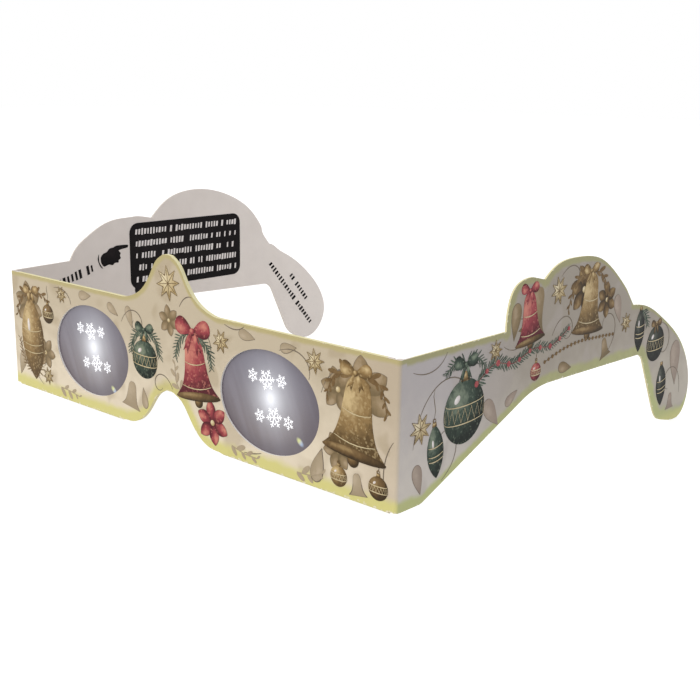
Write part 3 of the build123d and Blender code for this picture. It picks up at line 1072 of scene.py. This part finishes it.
def base_mesh(name, lines, lift, noted):
    """Lines as the edges of a mesh, or single points, with one number for each line under each name."""
    points = [(x, y, (lift + ink_thickness * number / len(lines)) / mm)
              for number, line in enumerate(lines) for x, y in line]
    starts = np.cumsum([0] + [len(line) for line in lines])
    edges = [(k, k + 1) for a, b in zip(starts, starts[1:]) for k in range(a, b - 1)]
    mesh = bpy.data.meshes.new(name)
    mesh.from_pydata(points, edges, [])
    for each, numbers in noted.items():
        note(mesh, each, [number for number, line in zip(numbers, lines) for _ in line])
    return mesh


def grow(name, tree, panel_name, lines, lift, ink, sizes, slot="printed_card", **noted):
    """Runs a tree with named sizes on flat lines, and shows the plain mesh that it makes on its panel."""
    holder = put(name, base_mesh(name, lines, lift, noted))
    modifier = holder.modifiers.new(name, "NODES")
    modifier.node_group = tree
    given = {**sizes, "Ink thickness": ink_thickness / mm, "Ink": ink}
    for socket in tree.interface.items_tree:
        if socket.name in given:
            modifier[socket.identifier] = given[socket.name]
    mesh = bpy.data.meshes.new_from_object(holder.evaluated_get(bpy.context.evaluated_depsgraph_get()))
    mesh.name = name
    bpy.data.objects.remove(holder)
    mesh.transform(panels[panel_name].place)
    show(name, mesh, panels[panel_name].body)


# %% Grow the pen lines
line_width, thin_end = 0.26, 0.45
cord_sway = 0.06


def flat_stroke(tree, curve, width, thickness, radius):
    """Sweeps a flat rectangle along a curve."""
    level = add(tree, "GeometryNodeSetCurveNormal", [curve], mode="Z_UP")
    profile = add(tree, "GeometryNodeCurvePrimitiveQuadrilateral", [width, thickness])
    return add(tree, "GeometryNodeCurveToMesh", [level, profile, radius, True])


def pen_tree():
    """Edges in, flat strokes of ink out."""
    tree, given = new_tree("pen_line", "Line width")
    curve = add(tree, "GeometryNodeMeshToCurve", [given["Geometry"]])
    along = add(tree, "GeometryNodeSplineParameter").outputs["Factor"]
    half_turn = add(tree, "ShaderNodeMath", [along, pi], operation="MULTIPLY")
    swell = add(tree, "ShaderNodeMath", [half_turn], operation="SINE")
    radius = add(tree, "ShaderNodeMapRange", {"Value": swell, "To Min": thin_end})
    stroke = flat_stroke(tree, curve, given["Line width"], given["Ink thickness"], radius)
    return end_tree(tree, stroke, given["Ink"])


def curl(start, reach, heading, turns, tightening=0.80, steps=26):
    """A swirl from a start, through a wide bend into a tighter and tighter one."""
    place, angle, step, found = Vector(start), radians(heading), reach / steps, []
    for k in range(steps + 1):
        found.append(place.copy())
        place = place + Vector((cos(angle), sin(angle))) * step
        angle += tau * turns / steps * (0.4 + 1.2 * k / steps)
        step *= 1 - (1 - tightening) / steps * 2
    return found


# A swirl has a place across and up, a reach as a share of the front's height, a heading and its turns
swirls = {
    "front": [(-0.97, -0.35, 0.75, 70, -1.0), (-0.80, -0.93, 0.7, 150, -0.9), (-0.70, -0.06, 0.6, 10, -0.7),
              (-0.28, -0.20, 0.7, 60, -1.1), (0.00, -0.62, 0.5, 120, 0.9), (0.045, 0.02, 0.45, 60, -0.8),
              (0.20, -0.30, 0.5, 80, 0.8), (0.27, -0.03, 0.5, -20, 0.6), (0.36, -0.92, 0.8, 5, 0.4),
              (0.52, -0.12, 0.6, 20, -0.6), (0.70, -0.33, 0.9, 70, -1.0), (0.955, -0.90, 1.2, 100, -0.7)],
    "left_temple": [(0.030, -0.10, 0.9, -20, 0.8), (0.035, -0.60, 1.5, 80, -0.9), (0.11, -0.88, 0.7, 30, 0.7),
                    (0.27, -0.10, 0.7, -30, 0.9), (0.44, 0.30, 0.6, 40, -0.8), (0.42, -0.12, 0.7, 60, -1.0),
                    (0.60, -0.42, 0.8, 20, 0.8), (0.66, 0.16, 0.8, -50, 0.9), (0.84, -0.28, 0.7, -10, -0.9),
                    (0.955, -0.98, 0.8, 90, 0.8)],
    "right_temple": [(0.040, -0.20, 0.9, 200, -0.8), (0.10, -0.85, 0.9, 150, -0.7),
                     (0.28, -0.36, 0.9, 170, -0.8), (0.40, 0.25, 0.8, 200, 0.9),
                     (0.60, -0.25, 0.9, 160, -0.8), (0.80, -0.10, 0.8, 190, 0.9)],
}


def lines_on(panel_name, layout):
    """The pen lines of a panel, sorted by ink. Grey ones lie lowest, with the cords and swirls."""
    by_ink = {}
    for item in layout:
        middle, size = measures_of(panel_name, item)
        own_lines = list(pen_lines[item.kind])
        if item.cord:
            up, radius = wire_rings[item.kind]
            own_lines.append(("bronze", ring(up, radius)))
            knot = middle + turned((0, up + radius), item.turn) * size
            length = item.cord * front_height / mm
            by_ink.setdefault("grey", []).append(
                [knot + Vector((cord_sway * sin(pi * k / 2), k / 4)) * length for k in range(5)])
        for ink, line in own_lines:
            by_ink.setdefault(ink, []).append([middle + turned(p, item.turn) * size for p in line])
    for across, up, reach, heading, turns in swirls[panel_name]:
        by_ink["grey"].append(curl(spot(panel_name, across, up), reach * front_height / mm, heading, turns))
    runs = [inked_run(panel_name, line) for line in by_ink["grey"]]
    by_ink["grey"] = [run for run in runs if len(run) > 2]
    return by_ink


pen = pen_tree()
line_layers = {"grey": 0.5, "bronze": first_layer + 4.6, "straw": first_layer + 5.8}
for panel_name, layout in layouts.items():
    for ink, lines in sorted(lines_on(panel_name, layout).items()):
        grow(f"{panel_name}_{ink}_lines", pen, panel_name, lines,
             skin_thickness + line_layers[ink] * ink_thickness, inks[ink], {"Line width": line_width})

# %% [markdown]
# ## Sprigs, garlands and beads
# Fir needles, leaves, berries and strings of beads are the same thing to a machine: one small flat
# piece set again and again along a stem. The tree walks along each stem in even steps, leans every
# piece to one side and the next one to the other, makes them smaller towards the tip, and jitters
# their size and lean from a fixed seed, so that each run of the lesson grows the same sprig. Pieces
# with a lean are rooted on the stem, and those without one, berries and beads, are threaded on it.

# %% A tree for what grows along a stem
growth_sizes = "Spacing", "Piece length", "Piece width", "Lean", "Tip share", "Jitter", "Stem width"


def walk(tree, curve, spacing):
    """Points at even steps along curves, each with a rotation that looks along the curve."""
    steps = add(tree, "GeometryNodeCurveToPoints", [curve, spacing], mode="LENGTH").outputs
    heading = add(tree, "FunctionNodeAlignRotationToVector", {"Vector": steps["Tangent"]},
                  axis="X", pivot_axis="Z")
    return steps["Points"], heading


def sprig_tree():
    """Stems in, small oval pieces of ink along them out."""
    tree, given = new_tree("sprig", *growth_sizes)
    curve = add(tree, "GeometryNodeMeshToCurve", [given["Geometry"]])
    along = add(tree, "GeometryNodeSplineParameter").outputs["Factor"]
    known = add(tree, "GeometryNodeStoreNamedAttribute",
                {"Geometry": curve, "Name": "along_stem", "Value": along})
    points, heading = walk(tree, known, given["Spacing"])

    oval = add(tree, "GeometryNodeMeshCylinder", {"Vertices": 10, "Radius": 1.0, "Depth": 1.0})
    half_length, half_breadth = (add(tree, "ShaderNodeMath", [given[size], 0.5], operation="MULTIPLY")
                                 for size in ("Piece length", "Piece width"))
    shape = add(tree, "ShaderNodeCombineXYZ", [half_length, half_breadth, given["Ink thickness"]])
    rooted = add(tree, "ShaderNodeMath", [given["Lean"], 0.0], operation="GREATER_THAN")
    offset = add(tree, "ShaderNodeMath", [half_length, rooted], operation="MULTIPLY")
    start = add(tree, "ShaderNodeCombineXYZ", [offset])
    piece = add(tree, "GeometryNodeTransform", {"Geometry": oval, "Translation": start, "Scale": shape})

    turn_shake, size_shake, lift = (
        add(tree, "FunctionNodeRandomValue", {"Min": low, "Max": high, "Seed": seed})
        for low, high, seed in ((-1.0, 1.0, 4), (-1.0, 1.0, 9), (0.7, 1.6, 2)))
    turn_jitter, size_jitter = (
        add(tree, "ShaderNodeMath", [shake, given["Jitter"], 1.0], operation="MULTIPLY_ADD")
        for shake in (turn_shake, size_shake))
    odd = add(tree, "ShaderNodeMath", [add(tree, "GeometryNodeInputIndex"), 2.0], operation="FLOORED_MODULO")
    side = add(tree, "ShaderNodeMapRange", {"Value": odd, "To Min": -1.0})
    on_stem = add(tree, "GeometryNodeInputNamedAttribute", ["along_stem"])
    taper = add(tree, "ShaderNodeMapRange", {"Value": on_stem, "To Min": 1.0, "To Max": given["Tip share"]})
    to_side = add(tree, "ShaderNodeMath", [side, given["Lean"]], operation="MULTIPLY")
    lean, size = (add(tree, "ShaderNodeMath", both, operation="MULTIPLY")
                  for both in ((to_side, turn_jitter), (taper, size_jitter)))

    sideways = add(tree, "FunctionNodeAxisAngleToRotation", [(0, 0, 1), lean])
    rotation = add(tree, "FunctionNodeRotateRotation", [heading, sideways], rotation_space="LOCAL")
    scale = add(tree, "ShaderNodeCombineXYZ", [size, size, lift])
    pieces = add(tree, "GeometryNodeInstanceOnPoints", {"Points": points, "Instance": piece,
                                                        "Rotation": rotation, "Scale": scale})
    stem = flat_stroke(tree, curve, given["Stem width"], given["Ink thickness"], 1.0)
    return end_tree(tree, add(tree, "GeometryNodeJoinGeometry", [[pieces, stem]]), given["Ink"])


sprig = sprig_tree()

# %% Grow the sprigs
# A growth has an ink, a layer and the sizes that its tree asks for. A stem is a few places on a panel
growths = {
    "fir": ("green", 0.9, 0.40, 2.7, 0.40, 0.75, 0.55, 0.22, 0.36),
    "dry_fir": ("bronze", 0.4, 0.55, 2.3, 0.34, 0.75, 0.50, 0.22, 0.26),
    "leaves": ("bronze", 0.6, 1.25, 3.4, 1.25, 0.62, 0.45, 0.18, 0.26),
    "pale_leaves": ("taupe", 0.2, 1.5, 3.2, 1.35, 0.70, 0.45, 0.18, 0.22),
    "berries": ("red", 3.2, 4.3, 1.5, 1.5, 0, 0.80, 0.12, 0.10),
    "beads": ("bronze", 2.2, 1.7, 1.0, 1.0, 0, 1.0, 0.06, 0.14),
}
left_garland = [(0.195, -0.30), (0.245, -0.20), (0.30, -0.235), (0.36, -0.175), (0.42, -0.19), (0.475, -0.10)]
right_garland = [(0.20, -0.33), (0.25, -0.24), (0.31, -0.26), (0.37, -0.20), (0.44, -0.21), (0.50, -0.12)]
stems = {
    "front": {
        "leaves": [[(-0.862, -0.17), (-0.905, -0.17), (-0.945, -0.24), (-0.962, -0.36)],
                   [(-0.862, -0.17), (-0.825, -0.14), (-0.785, -0.15), (-0.755, -0.19)],
                   [(0.832, -0.18), (0.785, -0.15), (0.745, -0.21), (0.722, -0.33)],
                   [(0.845, -0.18), (0.895, -0.15), (0.938, -0.22), (0.955, -0.36)]],
        "dry_fir": [[(-0.862, -0.84), (-0.905, -0.80), (-0.94, -0.70), (-0.955, -0.58)],
                    [(-0.862, -0.84), (-0.825, -0.82), (-0.80, -0.74), (-0.785, -0.62)]],
        "pale_leaves": [[(-0.68, -0.90), (-0.62, -0.91), (-0.56, -0.93)],
                        [(0.60, -0.93), (0.66, -0.92), (0.71, -0.88)],
                        [(0.30, -0.90), (0.36, -0.93), (0.42, -0.935)],
                        [(0.05, -0.63), (0.02, -0.55), (0.015, -0.42)]],
        "fir": [[(-0.150, -0.24), (-0.190, -0.255), (-0.218, -0.33), (-0.225, -0.42)],
                [(-0.150, -0.24), (-0.110, -0.245), (-0.078, -0.30), (-0.066, -0.40)],
                [(0.117, -0.165), (0.065, -0.18), (0.033, -0.25), (0.020, -0.36)],
                [(0.117, -0.165), (0.160, -0.19), (0.195, -0.27), (0.204, -0.38)]],
    },
    "left_temple": {
        "fir": [left_garland, [(0.757, -0.13), (0.775, -0.19), (0.783, -0.27)],
                [(0.165, -0.13), (0.195, -0.12), (0.215, -0.18)],
                [(0.165, -0.13), (0.135, -0.12), (0.112, -0.18)]],
        "berries": [left_garland],
        "leaves": [[(0.538, 0.27), (0.505, 0.27), (0.482, 0.18), (0.470, 0.04)],
                   [(0.542, 0.27), (0.575, 0.27), (0.600, 0.18), (0.612, 0.06)]],
        "beads": [[(0.40, -0.30), (0.46, -0.245), (0.52, -0.225), (0.58, -0.235), (0.64, -0.25)]],
    },
    "right_temple": {
        "fir": [right_garland],
        "berries": [right_garland],
        "leaves": [[(0.53, 0.41), (0.49, 0.39), (0.465, 0.28), (0.455, 0.14)],
                   [(0.535, 0.41), (0.575, 0.39), (0.60, 0.28), (0.61, 0.18)]],
        "beads": [[(0.36, -0.46), (0.44, -0.40), (0.52, -0.36), (0.62, -0.36), (0.72, -0.42)]],
    },
}
for panel_name, kinds in stems.items():
    for kind, routes in kinds.items():
        ink, layer, *sizes = growths[kind]
        lines = [smooth([tuple(spot(panel_name, *share)) for share in route]) for route in routes]
        grow(f"{panel_name}_{kind}", sprig, panel_name, lines,
             skin_thickness + (first_layer + layer) * ink_thickness, inks[ink], dict(zip(growth_sizes, sizes)))

# %% [markdown]
# ## What the film draws
# Looking through the film, a bright point turns into a little picture above it and the same picture
# turned upside down below it. Here that picture is three frost stars in fine white light. One arm is
# a stem with two pairs of twigs, six arms make a star, and a star stands on every point of a tiny
# mesh that knows each star's size and turn. The lines lie on the film itself and shine a little.

# %% A tree for frost stars
def frost_tree():
    """Points in, six-armed stars of thin flat lines out."""
    tree, given = new_tree("frost_star", "Arm length", "Line width")

    def bar(length, start, turn):
        """A flat bar that starts at a share of the arm and leans away from it."""
        reach, middle, root = (add(tree, "ShaderNodeMath", [given["Arm length"], share], operation="MULTIPLY")
                               for share in (length, length / 2, start))
        size = add(tree, "ShaderNodeCombineXYZ", [reach, given["Line width"], given["Ink thickness"]])
        line = add(tree, "GeometryNodeMeshCube", [size])
        for shift, angle in ((middle, 0), (root, turn)):
            place = add(tree, "ShaderNodeCombineXYZ", [shift])
            line = add(tree, "GeometryNodeTransform", [line, place, (0, 0, angle)])
        return line

    twigs = [bar(length, start, side * tau / 6)
             for length, start in ((0.34, 0.42), (0.24, 0.70)) for side in (1, -1)]
    arm = add(tree, "GeometryNodeJoinGeometry", [[bar(1.0, 0.0, 0.0), *twigs]])
    hub = add(tree, "GeometryNodeMeshLine", {"Count": 6, "Offset": (0, 0, 0)})
    sixths = add(tree, "ShaderNodeMath", [add(tree, "GeometryNodeInputIndex"), tau / 6], operation="MULTIPLY")
    turn, size = (add(tree, "GeometryNodeInputNamedAttribute", [name]) for name in ("turn", "size"))
    around, spin = (add(tree, "FunctionNodeAxisAngleToRotation", [(0, 0, 1), angle])
                    for angle in (sixths, turn))
    star = add(tree, "GeometryNodeInstanceOnPoints", {"Points": hub, "Instance": arm, "Rotation": around})
    stars = add(tree, "GeometryNodeInstanceOnPoints", {"Points": given["Geometry"], "Instance": star,
                                                       "Rotation": spin, "Scale": size})
    return end_tree(tree, stars, given["Ink"])


def drawn_light():
    """White light that the embossing draws, so it shines whatever lamp is near."""
    material, tree = new_material("light_drawn_by_embossed_film")
    shader = add(tree, "ShaderNodeBsdfPrincipled", {"Base Color": "#F4F6FA", "Roughness": 0.3,
                                                    "Emission Color": "#F6F9FF", "Emission Strength": 0.55})
    add(tree, "ShaderNodeOutputMaterial", [shader])
    return material


# %% Set the frost stars on the films
frost, light = frost_tree(), drawn_light()
film_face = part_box("left_film")[0].y
upper_stars = [(-1.2, 4.2, 1.0, 0.2), (-5.8, 4.5, 0.66, 0.5), (3.5, 4.7, 0.66, -0.1)]
places, star_sizes, star_turns = zip(*(([(side * x, side * y)], size, turn)
                                       for side in (1, -1) for x, y, size, turn in upper_stars))
for film, centre in films.items():
    panels[film] = panel("front", (centre.x + glow_shift.x, film_face, centre.z + glow_shift.z), along_x)
    grow(film + "_frost_stars", frost, film, places, ink_thickness / 2, light,
         {"Arm length": 2.6, "Line width": 0.19}, "diffraction_film", size=star_sizes, turn=star_turns)

# %% [markdown]
# ## The inner side
# Inside the right temple the sheet carries a black panel with rounded corners, and a pointing hand
# beside it, as old signs have. The panel holds rows of plain slanted strokes. One more tree makes
# them: strokes in even steps along a row, each a little taller or wider than the next, with some left
# out at random from a fixed seed so that the rows fall into groups.

# %% A tree for rows of strokes
def strokes_tree():
    """Rows in, slanted strokes of uneven size out, with gaps."""
    tree, given = new_tree("stroke_row", "Spacing", "Stroke height", "Slant", "Gap share")
    curve = add(tree, "GeometryNodeMeshToCurve", [given["Geometry"]])
    points, heading = walk(tree, curve, given["Spacing"])
    chance, wide, high = (add(tree, "FunctionNodeRandomValue", {"Min": low, "Max": top, "Seed": seed})
                          for low, top, seed in ((0.0, 1.0, 5), (0.42, 0.72, 6), (0.70, 1.0, 8)))
    kept = add(tree, "ShaderNodeMath", [chance, given["Gap share"]], operation="GREATER_THAN")
    cube = add(tree, "GeometryNodeMeshCube", [(1, 1, 1)])
    height = add(tree, "ShaderNodeSeparateXYZ", [add(tree, "GeometryNodeInputPosition")]).outputs["Y"]
    push, length, rise = (
        add(tree, "ShaderNodeMath", [value, given[size]], operation="MULTIPLY")
        for value, size in ((height, "Slant"), (wide, "Spacing"), (high, "Stroke height")))
    offset = add(tree, "ShaderNodeCombineXYZ", [push])
    sheared = add(tree, "GeometryNodeSetPosition", {"Geometry": cube, "Offset": offset})
    scale = add(tree, "ShaderNodeCombineXYZ", [length, rise, given["Ink thickness"]])
    strokes = add(tree, "GeometryNodeInstanceOnPoints", {
        "Points": points, "Selection": kept, "Instance": sheared, "Rotation": heading, "Scale": scale})
    return end_tree(tree, strokes, given["Ink"])


def rounded(half_wide, half_high, radius, steps=6):
    """A rectangle with rounded corners, anticlockwise."""
    corners = [(half_wide - radius, half_high - radius), (radius - half_wide, half_high - radius),
               (radius - half_wide, radius - half_high), (half_wide - radius, radius - half_high)]
    return [(x + radius * cos(a), y + radius * sin(a)) for quarter, (x, y) in enumerate(corners)
            for a in (pi / 2 * (quarter + k / steps) for k in range(steps + 1))]


# %% Print the inner side
black_panel = rounded(23.2, 10.5, 3.2)
panel_foot = by_angle(lambda a: 3.0 * cos(a), lambda a: 2.6 * sin(a))
fist = [(-4.4, -1.2), (-4.5, 0.4), (-3.6, 1.5), (-2.2, 2.0), (-1.2, 2.9), (0.4, 3.2), (1.6, 3.6), (5.5, 3.5),
        (5.7, 2.8), (5.2, 2.6), (2.3, 2.1), (2.9, 1.2), (2.6, 0.4), (2.9, -0.4), (2.1, -1.0), (2.0, -1.7),
        (0.7, -1.7), (-0.2, -2.3), (-1.6, -2.0), (-3.4, -2.4)]
cuff = [(-5.1, 1.6), (-5.6, 0.3), (-5.3, -1.2), (-4.6, -2.5), (-3.8, -3.0), (-4.3, -2.3), (-5.0, -1.1),
        (-5.2, 0.3)]
fist, cuff = (smooth(closed(outline))[:-1] for outline in (fist, cuff))
panel_middle, foot_middle, hand_middle = (
    spot("right_inside", *share) for share in ((0.495, -0.015), (0.352, -0.335), (0.268, 0.0)))
flat_shapes("right_inside_black_shapes", "right_inside", "black", [
    ([middle + Vector(p) for p in outline], outline, 0)
    for middle, outline in ((panel_middle, black_panel), (foot_middle, panel_foot),
                            (hand_middle, fist), (hand_middle, cuff))])

strokes, slant = strokes_tree(), 0.3
panel_rows = [[panel_middle + Vector((x, up)) for x in (-20.6, 20.9)] for up in (7.7, 3.9, 0.1, -3.7, -7.5)]
hook_rows, near_rows = ([[tuple(spot("right_inside", *share)) for share in row] for row in rows] for rows in (
    (((0.785, -0.283), (0.941, -1.00)), ((0.864, -0.44), (0.923, -0.719))),
    (((0.045, -0.245), (0.12, -0.175), (0.208, -0.075)),)))
for part, rows, ink, layer, *sizes in (
        ("panel_rows", panel_rows, "white", 2.2, 1.15, 2.05, 0.18),
        ("hook_rows", hook_rows, "black", -1.0, 1.45, 2.0, 0.13),
        ("near_rows", near_rows, "black", -1.0, 1.4, 2.8, 0.12)):
    grow(f"right_inside_{part}", strokes, "right_inside", rows,
         skin_thickness + (first_layer + layer) * ink_thickness, inks[ink],
         dict(zip(("Spacing", "Stroke height", "Gap share", "Slant"), (*sizes, slant))))
